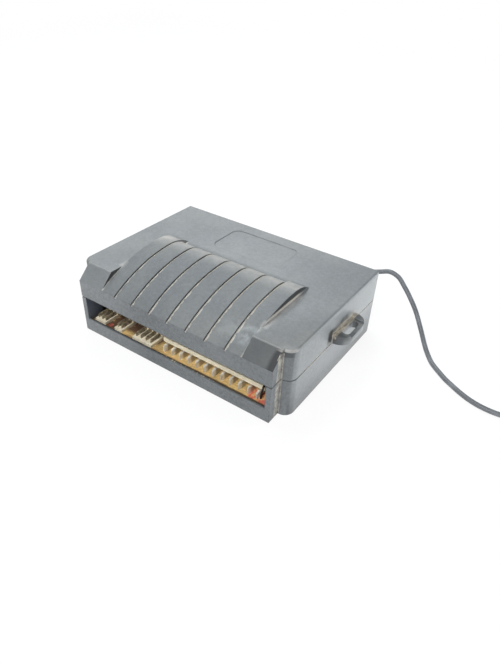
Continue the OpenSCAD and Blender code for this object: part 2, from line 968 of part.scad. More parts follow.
lower_shell();
upper_shell();
case_screws();
circuit_board();
board_screws();
main_header();
main_header_pins();
four_way_header();
four_way_pins();
two_way_header();
two_way_pins();
three_way_header();
three_way_pins();
jumper_link();
relays();
relay_pins();
controller();
controller_legs();
reservoir_capacitors();
capacitor_leads();
regulator();
regulator_tab();
regulator_legs();
crystal();
resistors();
resistor_leads();
diodes();
diode_leads();
transistors();
transistor_leads();
receiver_board();
receiver_can();
receiver_pins();
solder_joints();
antenna_wire();
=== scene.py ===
import bpy
from mathutils import Matrix, Vector


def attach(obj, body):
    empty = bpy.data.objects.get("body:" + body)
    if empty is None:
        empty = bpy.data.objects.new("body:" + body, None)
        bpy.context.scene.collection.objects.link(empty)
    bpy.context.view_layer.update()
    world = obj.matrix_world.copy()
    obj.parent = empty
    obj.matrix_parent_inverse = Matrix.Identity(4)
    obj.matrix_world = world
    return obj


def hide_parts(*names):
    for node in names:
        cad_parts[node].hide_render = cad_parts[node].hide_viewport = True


bl_info = {
    "name": "Control Module Finisher",
    "version": (1, 0, 0),
    "blender": (4, 5, 0),
    "location": "View3D > Sidebar > Module",
    "description": "Gives a moulded control module its finishes, its antenna wire and a small studio",
    "category": "Object",
}

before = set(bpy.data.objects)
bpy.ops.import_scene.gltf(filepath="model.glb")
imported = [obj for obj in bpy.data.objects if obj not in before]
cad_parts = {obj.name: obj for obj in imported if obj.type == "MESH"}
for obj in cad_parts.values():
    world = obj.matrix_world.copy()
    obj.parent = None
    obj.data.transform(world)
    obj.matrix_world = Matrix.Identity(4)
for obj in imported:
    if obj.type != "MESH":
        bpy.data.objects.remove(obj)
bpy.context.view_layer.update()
BODY = "root"
MM = 0.001

# Places on the case that the finishes refer to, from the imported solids
HALF_W = 50 * MM
FRONT_Y = -37 * MM
BODY_Y = -31 * MM
CREST_Y = -4 * MM
TOP_Z = 29.2 * MM
HUMP_HALF = 33.4 * MM
SLIT_PITCH = 8.75 * MM
SLIT_HALF = 0.4 * MM
SINK_Y = -25.8 * MM
NOSE_HALF = 45.8 * MM
EAR_Z = 19.2 * MM
SEAM_Z = 15.8 * MM
SILL_Z = 5.6 * MM
BAY_HALF = 43.3 * MM
CAPACITOR_TOP = 20.4 * MM

# Colours painted on the plastic: scuffs with painted highlights on its edges, a painted pale sheen, and painted
# shade in the bay
SCUFF_AND_HIGHLIGHT = (0.448, 0.434, 0.413)
SHEEN_PAINT = (0.378, 0.413, 0.427)
SHADED = (0.071, 0.092, 0.136)

# The antenna's run: right of its hole, behind the rear wall, above the ground
WIRE_HOLE = Vector((37, 37, 0)) * MM
WIRE_STEPS = 5
WIRE_RUN = [
    (0, -8, 20), (0, -2, 20), (0.1, 3, 20), (1.6, 7.4, 20.3), (5, 9.9, 21), (9.2, 11.2, 22.1),
    (13.2, 11.6, 23.3), (17.4, 11.3, 22.3), (21, 10.1, 19.7), (24.3, 8.9, 16.9), (29, 6.9, 12.2),
    (33.8, 3.2, 7.1), (39.3, -2.9, 2.9), (44.1, -7.7, 1), (48.8, -11.7, 1), (53.1, -14.8, 1),
    (61.6, -19.3, 1), (69.2, -21, 1), (77, -20.3, 1), (85, -17.4, 1), (93, -12.6, 1), (100, -6.4, 1),
    (106.4, 1.2, 1), (111.6, 9.4, 1), (115.4, 18.2, 1), (116.9, 23.4, 1),
]

# The small headers' pins: node, count and pitch; and the sides of small and large pins
SMALL_ROWS = (("four_way_pins", 4, 2.54 * MM), ("two_way_pins", 2, 2 * MM), ("three_way_pins", 3, 2 * MM))
SMALL_PIN = 0.64 * MM
LARGE_PIN = 1.1 * MM
LARGE_PITCH = 3.96 * MM

# The camera that the photograph was solved for: its place and its directions
CAMERA_PLACE = Vector((113.64, -155.94, 141.42)) * MM
CAMERA_RIGHT = Vector((0.82099, 0.56957, 0.03962))
CAMERA_UP = Vector((-0.36722, 0.47362, 0.80053))
CAMERA_BACK = Vector((0.43720, -0.67177, 0.59799))

# The stage: floor and backdrop, and how much of the floor glows near the object
FLOOR_SIZE = 12
FLOOR_Z = -0.0002
BACKDROP_H = 2
FLOOR_GLOW = 0.88
FLOOR_PAINT = (0.9, 0.9, 0.9, 1.0)


def tint(name, description, default):
    return bpy.props.FloatVectorProperty(
        name=name, description=description, subtype="COLOR", size=3, min=0, max=1, default=default)


def watts(name, description, default):
    return bpy.props.FloatProperty(
        name=name, description=f"Power of the {description}, in watts", min=0, max=50, default=default)


class ModuleFinishes(bpy.types.PropertyGroup):
    """Colours of the module's materials"""

    case: tint("Case", "Moulded plastic of both shells", (0.139, 0.152, 0.162))
    dust: tint("Dust", "Dust that has settled in slits and corners", (0.80, 0.70, 0.53))
    lint: tint("Lint", "Pale lint that fills slits and seams", (0.57, 0.535, 0.465))
    dustiness: bpy.props.FloatProperty(
        name="Dustiness", description="How much dust lies on the case",
        subtype="FACTOR", min=0, max=1, default=0.85)
    board: tint("Board", "Bare paper laminate of the circuit board", (0.73, 0.51, 0.21))
    ink: tint("Ink", "Dabs of red marking ink on the board", (0.72, 0.12, 0.10))
    nylon: tint("Nylon", "Aged nylon of the headers", (1.0, 0.91, 0.70))
    tin: tint("Tin", "Plating of the pins", (0.96, 0.91, 0.80))
    wire: tint("Wire", "Sleeve of the antenna wire", (0.127, 0.136, 0.150))


class ModuleSizes(bpy.types.PropertyGroup):
    """Sizes that the looks depend on"""

    wire_d: bpy.props.FloatProperty(
        name="Wire diameter", description="Antenna wire over its sleeve",
        unit="LENGTH", min=0.001, max=0.003, default=2 * MM)
    soft_edge: bpy.props.FloatProperty(
        name="Soft edge", description="Radius that moulded edges show",
        unit="LENGTH", min=0, max=0.001, default=0.45 * MM)
    grain: bpy.props.FloatProperty(
        name="Grain", description="Height of the moulded grain",
        unit="LENGTH", min=0, max=0.0005, default=0.05 * MM)


class ModuleStudio(bpy.types.PropertyGroup):
    """Camera and light"""

    lens: bpy.props.FloatProperty(
        name="Lens", description="Focal length on a 36 mm sensor",
        min=10, max=200, default=30.0045)
    key: watts("Key", "large light behind", 8.6)
    front: watts("Front", "low light in front", 0.1)
    bay: watts("Bay", "high light on the connectors", 5.3)
    side: watts("Side", "low light on the right", 5.8)
    table: bpy.props.FloatProperty(
        name="Table", description="Light that the white table throws back", min=0, max=4, default=1.4)
    sky: bpy.props.FloatProperty(
        name="Sky", description="Strength of the surrounding light", min=0, max=2, default=0.2)


class Recipe:
    """A material in the making, with short calls that add and join its nodes."""

    def __init__(self, name):
        self.material = bpy.data.materials.new(name)
        self.material.use_nodes = True
        self.tree = self.material.node_tree
        self.shader = self.tree.nodes["Principled BSDF"]
        self.place = self.node("ShaderNodeTexCoord").outputs["Object"]
        split = self.node("ShaderNodeSeparateXYZ", self.place)
        self.x, self.y, self.z = split.outputs
        facing = self.node("ShaderNodeSeparateXYZ", self.node("ShaderNodeNewGeometry").outputs["Normal"])
        self.up = facing.outputs["Z"]
        self.sideways = self.size(facing.outputs["X"])

    def node(self, kind, *values, **settings):
        made = self.tree.nodes.new(kind)
        for key, value in settings.items():
            setattr(made, key, value)
        for socket, value in zip(made.inputs, values):
            self.put(socket, value)
        return made

    def put(self, socket, value):
        if isinstance(value, bpy.types.NodeSocket):
            self.tree.links.new(value, socket)
        elif value is not None:
            socket.default_value = value

    def math(self, operation, *values, clamp=False):
        return self.node("ShaderNodeMath", *values, operation=operation, use_clamp=clamp).outputs[0]

    def add(self, first, *others):
        for other in others:
            first = self.math("ADD", first, other)
        return first

    def times(self, first, *others):
        for other in others:
            first = self.math("MULTIPLY", first, other)
        return first

    def most(self, first, *others):
        for other in others:
            first = self.math("MAXIMUM", first, other)
        return first

    def off(self, value):
        return self.math("SUBTRACT", 1.0, value, clamp=True)

    def size(self, value):
        return self.math("ABSOLUTE", value)

    def rise(self, value, low, high):
        """0 below low, 1 above high, smooth between them."""
        ranged = self.node("ShaderNodeMapRange", value, low, high, 0.0, 1.0, interpolation_type="SMOOTHSTEP")
        return ranged.outputs[0]

    def band(self, value, low, high, soft):
        """1 from low to high, fading out over soft on each side."""
        return self.times(self.rise(value, low - soft, low), self.off(self.rise(value, high, high + soft)))

    def grain(self, scale, detail=2.0, roughness=0.5, stretch=None):
        place = self.place
        if stretch:
            place = self.node("ShaderNodeMapping", place, None, None, stretch).outputs[0]
        return self.node("ShaderNodeTexNoise", place, None, scale, detail, roughness).outputs["Fac"]

    def blend(self, share, first, second):
        mixed = self.tree.nodes.new("ShaderNodeMix")
        mixed.data_type = "RGBA"
        for index, value in ((0, share), (6, first), (7, second)):
            if index and not isinstance(value, bpy.types.NodeSocket):
                value = (*value, 1.0)
            self.put(mixed.inputs[index], value)
        return mixed.outputs[2]

    def lerp(self, share, first, second):
        ranged = self.node("ShaderNodeMapRange", share, 0.0, 1.0, first, second)
        return ranged.outputs[0]

    def soften(self, radius):
        return self.node("ShaderNodeBevel", radius, samples=4).outputs[0]

    def bump(self, height, distance, strength=1.0, normal=None):
        bumped = self.node("ShaderNodeBump")
        self.put(bumped.inputs["Strength"], strength)
        self.put(bumped.inputs["Distance"], distance)
        self.put(bumped.inputs["Height"], height)
        self.put(bumped.inputs["Normal"], normal)
        return bumped.outputs[0]

    def finish(self, **sockets):
        for name, value in sockets.items():
            name = name.replace("_", " ").title().replace("Ior", "IOR")
            if isinstance(value, tuple) and len(value) == 3:
                value = (*value, 1.0)
            self.put(self.shader.inputs[name], value)
        return self.material


def shade(colour, factor):
    return tuple(min(1.0, c * factor) for c in colour)


def dress(material, *nodes):
    """Puts a material on CAD nodes."""
    for name in nodes:
        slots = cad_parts[name].data.materials
        slots.clear()
        slots.append(material)


def moulded(r, colour):
    """Finely grained plastic: its colour, its height and its tone."""
    broad = r.grain(30, 3)
    mottle = r.grain(700, 4, 0.6)
    fine = r.grain(2100, 3, 0.65)
    tone = r.add(r.times(broad, 0.3), r.times(mottle, 0.35), r.times(fine, 0.35))
    tone = r.rise(tone, 0.34, 0.66)
    level = r.times(r.rise(r.up, 0.3, 0.8), 0.25)
    spread = r.node("ShaderNodeMapRange", tone, 0.0, 1.0, level, r.off(level)).outputs[0]
    return r.blend(spread, shade(colour, 0.68), shade(colour, 1.33)), r.add(fine, mottle), tone


def slit_place(r):
    """Where the slits of the hump are: across them from -1 to 1, and 1 along their run."""
    across = r.size(r.x)
    wrapped = r.math("WRAP", r.x, SLIT_PITCH / 2, -SLIT_PITCH / 2)
    reach = r.add(r.times(r.rise(across, 24 * MM, 25 * MM), 2.4 * MM), CREST_Y + 8 * MM)
    run = r.times(
        r.off(r.rise(across, 27.6 * MM, 28.0 * MM)),
        r.off(r.rise(r.math("SUBTRACT", r.y, reach), -0.4 * MM, 0.4 * MM)),
        r.rise(r.z, 22.2 * MM, 22.6 * MM),
    )
    return r.math("DIVIDE", wrapped, SLIT_HALF), run


def end_walls(r):
    """The upright walls at the ends of the hump."""
    return r.times(r.band(r.size(r.x), HUMP_HALF - 0.2 * MM, HUMP_HALF + 0.2 * MM, 0.1 * MM),
                   r.rise(r.sideways, 0.5, 0.8))


def slope_end(r):
    """The slope right of the hump, 1 at its right-hand edge, where the painted shade is darkest."""
    smear = r.add(r.x, r.times(r.grain(160, 3, 0.6), 1.6 * MM))
    wear_and_shade = r.lerp(r.rise(smear, NOSE_HALF - 2.6 * MM, NOSE_HALF - 0.8 * MM), 0.62, 1.0)
    return r.times(r.rise(r.x, HUMP_HALF - 0.2 * MM, HUMP_HALF), r.off(r.rise(r.y, BODY_Y - 0.3 * MM, BODY_Y)),
                   r.rise(r.up, 0.3, 0.5), wear_and_shade)


def slit_lint(r):
    """Lint on the floor of the slits, thinner towards the crest, and spilt beside them in front."""
    place, run = slit_place(r)
    level = r.rise(r.up, 0.25, 0.5)
    front = r.off(r.rise(r.y, -24 * MM, -12 * MM))
    spill = r.times(r.rise(r.grain(420, 3, 0.6), 0.34, 0.62), front, -1.1)
    return r.times(r.band(r.add(place, spill), -1.9, 1.05, 0.15), r.rise(place, -1.0, -0.9), run, level,
                   r.lerp(front, 0.5, 0.85))


def slit_dust(r):
    """Tan dust in the slits behind the lint, up to their right-hand edge."""
    place, run = slit_place(r)
    return r.times(r.band(place, -0.9, 1.25, 0.2), run, r.rise(r.up, 0.25, 0.5), r.rise(r.y, -26 * MM, -16 * MM),
                   r.lerp(r.rise(r.grain(300, 3), 0.36, 0.6), 0.4, 0.9))


def crease_lint(r):
    """Lint along the ends of the hump, in the crease in front and on the end walls behind, and at the ears."""
    across = r.size(r.x)
    ends = r.off(r.rise(r.y, CREST_Y + 2 * MM, CREST_Y + 6 * MM))
    ragged = r.add(r.z, r.times(r.grain(700, 3, 0.6), 0.3 * MM))
    line = r.times(end_walls(r), r.band(ragged, TOP_Z + 0.65 * MM, TOP_Z + 1.5 * MM, 0.1 * MM), ends)
    inner = r.times(r.band(across, HUMP_HALF - 0.5 * MM, HUMP_HALF, 0.15 * MM),
                    r.off(r.rise(r.y, SINK_Y, SINK_Y + 1 * MM)), r.rise(r.up, 0.25, 0.5),
                    r.lerp(r.rise(r.grain(420, 3), 0.4, 0.6), 0.25, 0.7))
    ear = r.times(r.band(across, HALF_W - 0.1 * MM, HALF_W + 0.4 * MM, 0.15 * MM),
                  r.band(r.y, -2.7 * MM, -1.9 * MM, 0.15 * MM),
                  r.band(r.z, EAR_Z - 3.4 * MM, EAR_Z + 0.6 * MM, 0.3 * MM), 0.7)
    return r.most(line, inner, ear)


def ear_dust(r):
    """Streaks of packed dust on the seat of the ears, against the wall."""
    streaks = r.rise(r.grain(500, 4, 0.65, (2.2, 0.7, 2.2)), 0.34, 0.56)
    ragged = r.add(r.size(r.x), r.times(r.grain(900, 3), 0.8 * MM))
    return r.times(
        r.band(ragged, HALF_W - 0.1 * MM, HALF_W + 1.9 * MM, 0.2 * MM),
        r.band(r.z, EAR_Z - 0.4 * MM, EAR_Z + 1.7 * MM, 0.5 * MM),
        r.band(r.y, -2.4 * MM, 16.2 * MM, 0.4 * MM),
        r.lerp(streaks, 0.12, 0.58),
    )


def flank_lint(r):
    """Broken lint in the step between the nose and the right-hand round corner."""
    ragged = r.add(r.y, r.times(r.grain(700, 4, 0.6), 1.8 * MM))
    return r.times(
        r.band(r.x, NOSE_HALF - 0.3 * MM, NOSE_HALF + 0.35 * MM, 0.2 * MM),
        r.band(ragged, BODY_Y - 1.6 * MM, BODY_Y + 3 * MM, 0.8 * MM),
        r.off(r.rise(r.z, TOP_Z - 1.8 * MM, TOP_Z - 1 * MM)),
        r.lerp(r.rise(r.grain(600, 4, 0.7), 0.40, 0.58), 0.3, 1.0),
    )


def ear_shade_painted(r):
    """Painted shade on the wall round the upper edge of the ears."""
    above = r.times(r.band(r.y, -1 * MM, 8 * MM, 3.5 * MM), r.band(r.z, EAR_Z, EAR_Z + 3.2 * MM, 2.4 * MM),
                    r.lerp(r.rise(r.grain(300, 3), 0.36, 0.6), 0.45, 0.8))
    front = r.times(r.band(r.y, -5.2 * MM, -3 * MM, 1.8 * MM), r.band(r.z, EAR_Z - 1 * MM, EAR_Z + 3 * MM, 2 * MM))
    return r.times(r.most(above, front), r.rise(r.size(r.x), HALF_W - 0.5 * MM, HALF_W - 0.2 * MM))


def upper_shade_painted(r):
    """Where shade is painted dark on the upper shell: slit walls, hump ends, ears, the wall round the ears, the
    right-hand end of the slope and under the top's right-hand edge.
    """
    across = r.size(r.x)
    place, run = slit_place(r)
    # Painted shade on the walls of the slits
    slit = r.times(r.band(place, -1.1, 1.1, 0.05), run, r.off(r.rise(r.up, 0.25, 0.5)), 0.35)
    # Painted shade on the ears, darkest on their upright faces
    ears = r.times(r.rise(across, HALF_W + 0.2 * MM, HALF_W + 0.8 * MM),
                   r.most(r.times(r.rise(r.z, EAR_Z + 0.3 * MM, EAR_Z + 0.5 * MM), 0.5),
                          r.lerp(r.rise(r.up, 0.2, 0.5), 0.65, 0.4)))
    # Painted shade on the end walls of the hump, above the lint line and at their front ends
    walls = r.times(end_walls(r), 0.92, r.most(r.rise(r.z, TOP_Z + 1.0 * MM, TOP_Z + 1.3 * MM),
                                               r.off(r.rise(r.y, SINK_Y, SINK_Y + 0.5 * MM))))
    # Painted shade at the right-hand end of the slope
    slope = r.times(slope_end(r), 0.97)
    # Painted shade under the rounded top edge of the right-hand corner
    under = r.times(r.rise(r.x, NOSE_HALF - 0.4 * MM, NOSE_HALF),
                    r.off(r.rise(r.y, BODY_Y + 1 * MM, BODY_Y + 3 * MM)),
                    r.band(r.z, TOP_Z - 2.6 * MM, TOP_Z - 1.1 * MM, 0.5 * MM), 0.6)
    return r.most(slit, ears, ear_shade_painted(r), walls, slope, under)


def flanks(r):
    """The left and right sides of the case."""
    return r.times(r.rise(r.sideways, 0.5, 0.8), r.rise(r.size(r.x), HALF_W - 1 * MM, HALF_W - 0.5 * MM))


def flank_sheen_painted(r):
    """Where a pale sheen is painted on the sides, most towards the rear and the top."""
    return r.times(flanks(r), r.lerp(r.rise(r.y, -26 * MM, 36 * MM), 0.25, 0.5),
                   r.lerp(r.rise(r.z, 3 * MM, 19 * MM), 0.2, 1.0), r.off(ear_shade_painted(r)))


def hump_sheen_painted(r):
    """Pale sheen painted in patches on the front of the hump, most at its right-hand corner."""
    corner = r.lerp(r.rise(r.x, 24 * MM, 28 * MM), 0.35, 1.0)
    return r.times(r.band(r.x, 20 * MM, HUMP_HALF - 0.2 * MM, 1.5 * MM),
                   r.band(r.y, -32 * MM, -27.5 * MM, 2.5 * MM),
                   r.rise(r.up, 0.2, 0.4), r.rise(r.z, 23.6 * MM, 24.2 * MM), corner,
                   r.rise(r.grain(210, 4, 0.6), 0.36, 0.62), 0.42)


def upper_scuffs_and_highlights(r):
    """Where the upper shell is scuffed pale along the bend, has highlights painted on its right-hand top corner and
    its worn crest, and has light painted over the shade beside the hump's ends.
    """
    across = r.size(r.x)
    patches = r.rise(r.grain(240, 4, 0.6), 0.36, 0.62)
    bend = r.times(r.band(across, HUMP_HALF, HALF_W, 0.2 * MM),
                   r.band(r.y, BODY_Y - 0.25 * MM, BODY_Y + 0.2 * MM, 0.15 * MM),
                   r.rise(r.z, TOP_Z - 0.5 * MM, TOP_Z - 0.2 * MM), 0.25)
    # Painted highlight along the rounded top edge of the right-hand corner
    corner = r.times(r.rise(r.x, NOSE_HALF - 3 * MM, NOSE_HALF),
                     r.band(r.z, TOP_Z - 0.7 * MM, TOP_Z - 0.1 * MM, 0.15 * MM),
                     r.off(r.rise(r.y, BODY_Y + 2 * MM, BODY_Y + 5 * MM)), 0.6)
    # Painted highlight on the crest of the hump, over some scuffing
    crest = r.times(r.rise(r.y, CREST_Y - 5 * MM, CREST_Y + 5 * MM),
                    r.off(r.rise(r.y, CREST_Y + 6 * MM, CREST_Y + 9 * MM)),
                    r.rise(r.z, TOP_Z + 0.2 * MM, TOP_Z + 0.8 * MM), r.rise(r.up, 0.4, 0.7),
                    r.lerp(r.off(r.rise(r.x, -32 * MM, -28 * MM)), 0.55, 1.0))
    # Painted light over the shade that falls on the top beside the ends of the hump
    behind = r.rise(r.y, SINK_Y, SINK_Y + 1 * MM)
    foot = r.times(r.band(across, HUMP_HALF - 0.2 * MM, HUMP_HALF + 1 * MM, 1.5 * MM), behind,
                   r.off(r.rise(r.z, TOP_Z + 0.9 * MM, TOP_Z + 1.1 * MM)),
                   r.off(r.rise(r.y, CREST_Y + 3 * MM, CREST_Y + 8 * MM)),
                   r.lerp(r.rise(r.up, 0.5, 0.8), 0.8, 0.4))
    return r.times(r.most(bend, corner, crest, foot), r.lerp(patches, 0.6, 1.0))


def lower_shade_painted(r):
    """Painted shade in the gap between sill and board, and at the foot of the sides."""
    ragged = r.add(r.y, r.times(r.grain(500, 3, 0.6), 0.5 * MM))
    above = r.rise(r.z, SILL_Z - 0.1 * MM, SILL_Z + 0.1 * MM)
    inside = r.times(r.rise(r.y, FRONT_Y + 0.95 * MM, FRONT_Y + 1 * MM), r.off(above))
    edge = r.times(r.rise(ragged, FRONT_Y + 0.8 * MM, FRONT_Y + 1 * MM), above)
    # Painted shade in the gap behind the sill
    gap = r.times(r.most(inside, edge), r.off(r.rise(r.y, FRONT_Y + 5 * MM, FRONT_Y + 6 * MM)),
                  r.off(r.rise(r.z, SILL_Z + 0.3 * MM, SILL_Z + 0.5 * MM)),
                  r.off(r.rise(r.size(r.x), BAY_HALF + 0.2 * MM, BAY_HALF + 0.7 * MM)), 0.95)
    # Painted shade, darker towards the foot of the sides
    low = r.times(r.rise(r.sideways, 0.5, 0.8), r.off(r.rise(r.z, 1 * MM, 10 * MM)), 0.4)
    return r.most(gap, low)


def bay_walls(r):
    """The walls at the ends of the connector bay, where their shade is painted dark and bluish."""
    return r.times(r.band(r.size(r.x), BAY_HALF, BAY_HALF + 1.1 * MM, 0.2 * MM), r.rise(r.sideways, 0.5, 0.8), 0.8)


def seam_lint(r):
    """Lint that fills the seam along the sides."""
    return r.times(
        r.rise(r.size(r.x), HALF_W - 0.8 * MM, HALF_W - 0.6 * MM),
        r.band(r.z, SEAM_Z, SEAM_Z + 0.7 * MM, 0.05 * MM),
        r.rise(r.y, BODY_Y + 4 * MM, BODY_Y + 12 * MM),
        1.4,
    )


def sill_crumbs(r):
    """Crumbs along the inner edge of the sill."""
    return r.times(r.band(r.y, FRONT_Y + 0.3 * MM, FRONT_Y + 1 * MM, 0.1 * MM),
                   r.band(r.z, SILL_Z, SILL_Z + 0.3 * MM, 0.1 * MM),
                   r.band(r.x, -10 * MM, 20 * MM, 4 * MM), r.rise(r.grain(1100, 2), 0.60, 0.66))


def case_plastic(name, look, dust_places, lint_places, shade_places, wear_and_painted_light):
    """The case's plastic with painted shade, scuffs, painted highlights and painted sheen in their own colours,
    dust and lint, each where its masks say.
    """
    r = Recipe(name)
    case = look.finishes.case
    hump = r.times(r.off(r.rise(r.size(r.x), HUMP_HALF - 0.2 * MM, HUMP_HALF)),
                   r.off(r.rise(r.y, CREST_Y + 9 * MM, CREST_Y + 12 * MM)), r.rise(r.up, 0.2, 0.4))
    # The front right of the top, where shade is painted, more dust lies and the gloss is duller
    front_right = r.rise(r.math("SUBTRACT", r.x, r.y), 40 * MM, 72 * MM)
    colour, height, tone = moulded(r, case)
    # Painted shade from the masks, a little over the hump's front, and more on the front right of the top
    grime_and_shade = r.most(*[place(r) for place in shade_places], r.times(hump, 0.1),
                   r.times(front_right, r.rise(r.up, 0.8, 0.9), 0.28))
    colour = r.blend(grime_and_shade, colour, shade(case, 0.16))
    # Scuffs, painted highlights, painted sheen and painted shade in the bay, each in its own colour
    for place, tint in wear_and_painted_light:
        colour = r.blend(place(r), colour, tint)
    patches = r.rise(r.grain(650, 4, 0.65), 0.36, 0.62)
    film = r.times(r.rise(r.up, 0.4, 0.95), r.rise(r.grain(34, 5, 0.62), 0.40, 0.75), r.off(grime_and_shade),
                   r.lerp(front_right, 0.065, 0.1))
    caked = r.most(*[place(r) for place in dust_places], 0.0)
    dust = r.add(r.times(caked, r.lerp(patches, 0.6, 1.0)), film)
    dust = r.times(dust, look.finishes.dustiness)
    colour = r.blend(dust, colour, look.finishes.dust)
    lint = r.times(r.most(*[place(r) for place in lint_places], 0.0), r.lerp(patches, 0.7, 1.0),
                   look.finishes.dustiness)
    colour = r.blend(lint, colour, look.finishes.lint)
    flank = flanks(r)
    rough = r.add(r.lerp(dust, 0.0, 0.35), r.lerp(tone, 0.52, 0.42), r.times(hump, 0.06), r.times(flank, -0.14))
    normal = r.bump(height, look.sizes.grain, r.lerp(hump, 0.5, 1.2), r.soften(look.sizes.soft_edge))
    face = r.times(r.off(r.rise(r.y, FRONT_Y + 0.2 * MM, FRONT_Y + 0.5 * MM)), r.off(r.rise(r.up, 0.2, 0.4)),
                   r.band(r.x, -5 * MM, 0, 42 * MM))
    dimmed = r.most(r.times(hump, 0.48), r.times(slope_end(r), 0.6), r.times(front_right, 0.45), r.times(face, 0.6))
    gloss = r.add(r.lerp(dimmed, 0.95, 0.0), r.times(flank, 0.2))
    return r.finish(base_color=colour, roughness=rough, specular_ior_level=gloss, normal=normal)


class ModuleOperator(bpy.types.Operator):
    """Shared by the steps"""

    bl_options = {"REGISTER", "UNDO"}

    @property
    def look(self):
        return bpy.context.scene.module_look


class MODULE_OT_camera(ModuleOperator):
    """Places the camera in front of the right-hand corner, looking down"""

    bl_idname = "module.camera"
    bl_label = "Camera"

    def execute(self, context):
        bpy.ops.object.camera_add()
        camera = context.object
        camera.name = "camera"
        turned = Matrix((CAMERA_RIGHT, CAMERA_UP, CAMERA_BACK)).transposed().to_4x4()
        camera.matrix_world = Matrix.Translation(CAMERA_PLACE) @ turned
        camera.data.lens = self.look.studio.lens
        camera.data.clip_start = 0.01
        camera.data.clip_end = 20
        context.scene.camera = camera
        return {"FINISHED"}


def along_route(route, steps):
    """Points of a smooth curve through the route, with some steps from each place to the next."""
    points = []
    last = len(route) - 1
    for index in range(steps * last + 1):
        i = min(index // steps, last - 1)
        u = index / steps - i
        a, b, c, d = (route[min(max(k, 0), last)] for k in (i - 1, i, i + 1, i + 2))
        points.append(0.5 * (2 * b + (c - a) * u + (2 * a - 5 * b + 4 * c - d) * u * u
                             + (3 * b - a - 3 * c + d) * u * u * u))
    return points


def wire_sleeve(look):
    r = Recipe("wire_sleeve")
    wear = r.rise(r.grain(160, 4, 0.6), 0.42, 0.66)
    fine = r.grain(2600, 2)
    colour = r.blend(wear, shade(look.finishes.wire, 0.86), shade(look.finishes.wire, 1.18))
    return r.finish(base_color=colour, roughness=r.lerp(wear, 0.42, 0.54),
                    normal=r.bump(fine, 0.02 * MM, 0.4))


class MODULE_OT_antenna(ModuleOperator):
    """Lays the antenna wire from its hole in the rear wall over the ground"""

    bl_idname = "module.antenna"
    bl_label = "Antenna wire"

    def execute(self, context):
        radius = self.look.sizes.wire_d / 2
        route = [WIRE_HOLE + Vector(p) * MM for p in WIRE_RUN]
        points = along_route(route, WIRE_STEPS)
        curve = bpy.data.curves.new("antenna", "CURVE")
        curve.dimensions = "3D"
        spline = curve.splines.new("POLY")
        spline.points.add(len(points) - 1)
        for spot, p in zip(spline.points, points):
            spot.co = (p.x, p.y, max(p.z, radius), 1.0)
        curve.bevel_depth = radius
        curve.bevel_resolution = 5
        curve.use_fill_caps = True
        wire = bpy.data.objects.new("antenna", curve)
        context.collection.objects.link(wire)
        curve.materials.append(wire_sleeve(self.look))
        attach(wire, BODY)
        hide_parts("antenna_wire")
        return {"FINISHED"}


class MODULE_OT_case(ModuleOperator):
    """Gives the two shells their dusty moulded plastic with painted shade, sheen and highlights, and the screws
    their zinc
    """

    bl_idname = "module.case"
    bl_label = "Case"

    def execute(self, context):
        look = self.look
        upper = case_plastic(
            "case_plastic_upper", look, (ear_dust, slit_dust), (crease_lint, slit_lint, flank_lint), (upper_shade_painted,),
            ((upper_scuffs_and_highlights, SCUFF_AND_HIGHLIGHT), (flank_sheen_painted, SHEEN_PAINT), (hump_sheen_painted, SHEEN_PAINT), (bay_walls, SHADED)))
        dress(upper, "upper_shell")
        lower = case_plastic(
            "case_plastic_lower", look, (sill_crumbs,), (flank_lint, seam_lint), (lower_shade_painted,),
            ((flank_sheen_painted, SHEEN_PAINT), (bay_walls, SHADED)))
        dress(lower, "lower_shell")
        r = Recipe("screw_zinc")
        haze = r.rise(r.grain(500, 4), 0.35, 0.65)
        r.finish(base_color=r.blend(haze, (0.50, 0.50, 0.50), (0.72, 0.70, 0.62)), metallic=1.0,
                 roughness=r.lerp(haze, 0.30, 0.48))
        dress(r.material, "case_screws", "board_screws")
        return {"FINISHED"}


def pick_end(piece, way):
    """Goes to edit mode with the faces selected that lie furthest in a direction."""
    bpy.ops.object.mode_set(mode="OBJECT")
    mesh = piece.data
    reach = max(v.co.dot(way) for v in mesh.vertices)
    for part in (*mesh.vertices, *mesh.edges):
        part.select = False
    for face in mesh.polygons:
        face.select = all(mesh.vertices[i].co.dot(way) > reach - 1e-6 for i in face.vertices)
    bpy.ops.object.mode_set(mode="EDIT")


def node_box(name):
    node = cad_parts[name]
    corners = [node.matrix_world @ Vector(c) for c in node.bound_box]
    return [Vector([pick(c[k] for c in corners) for k in range(3)]) for pick in (min, max)]


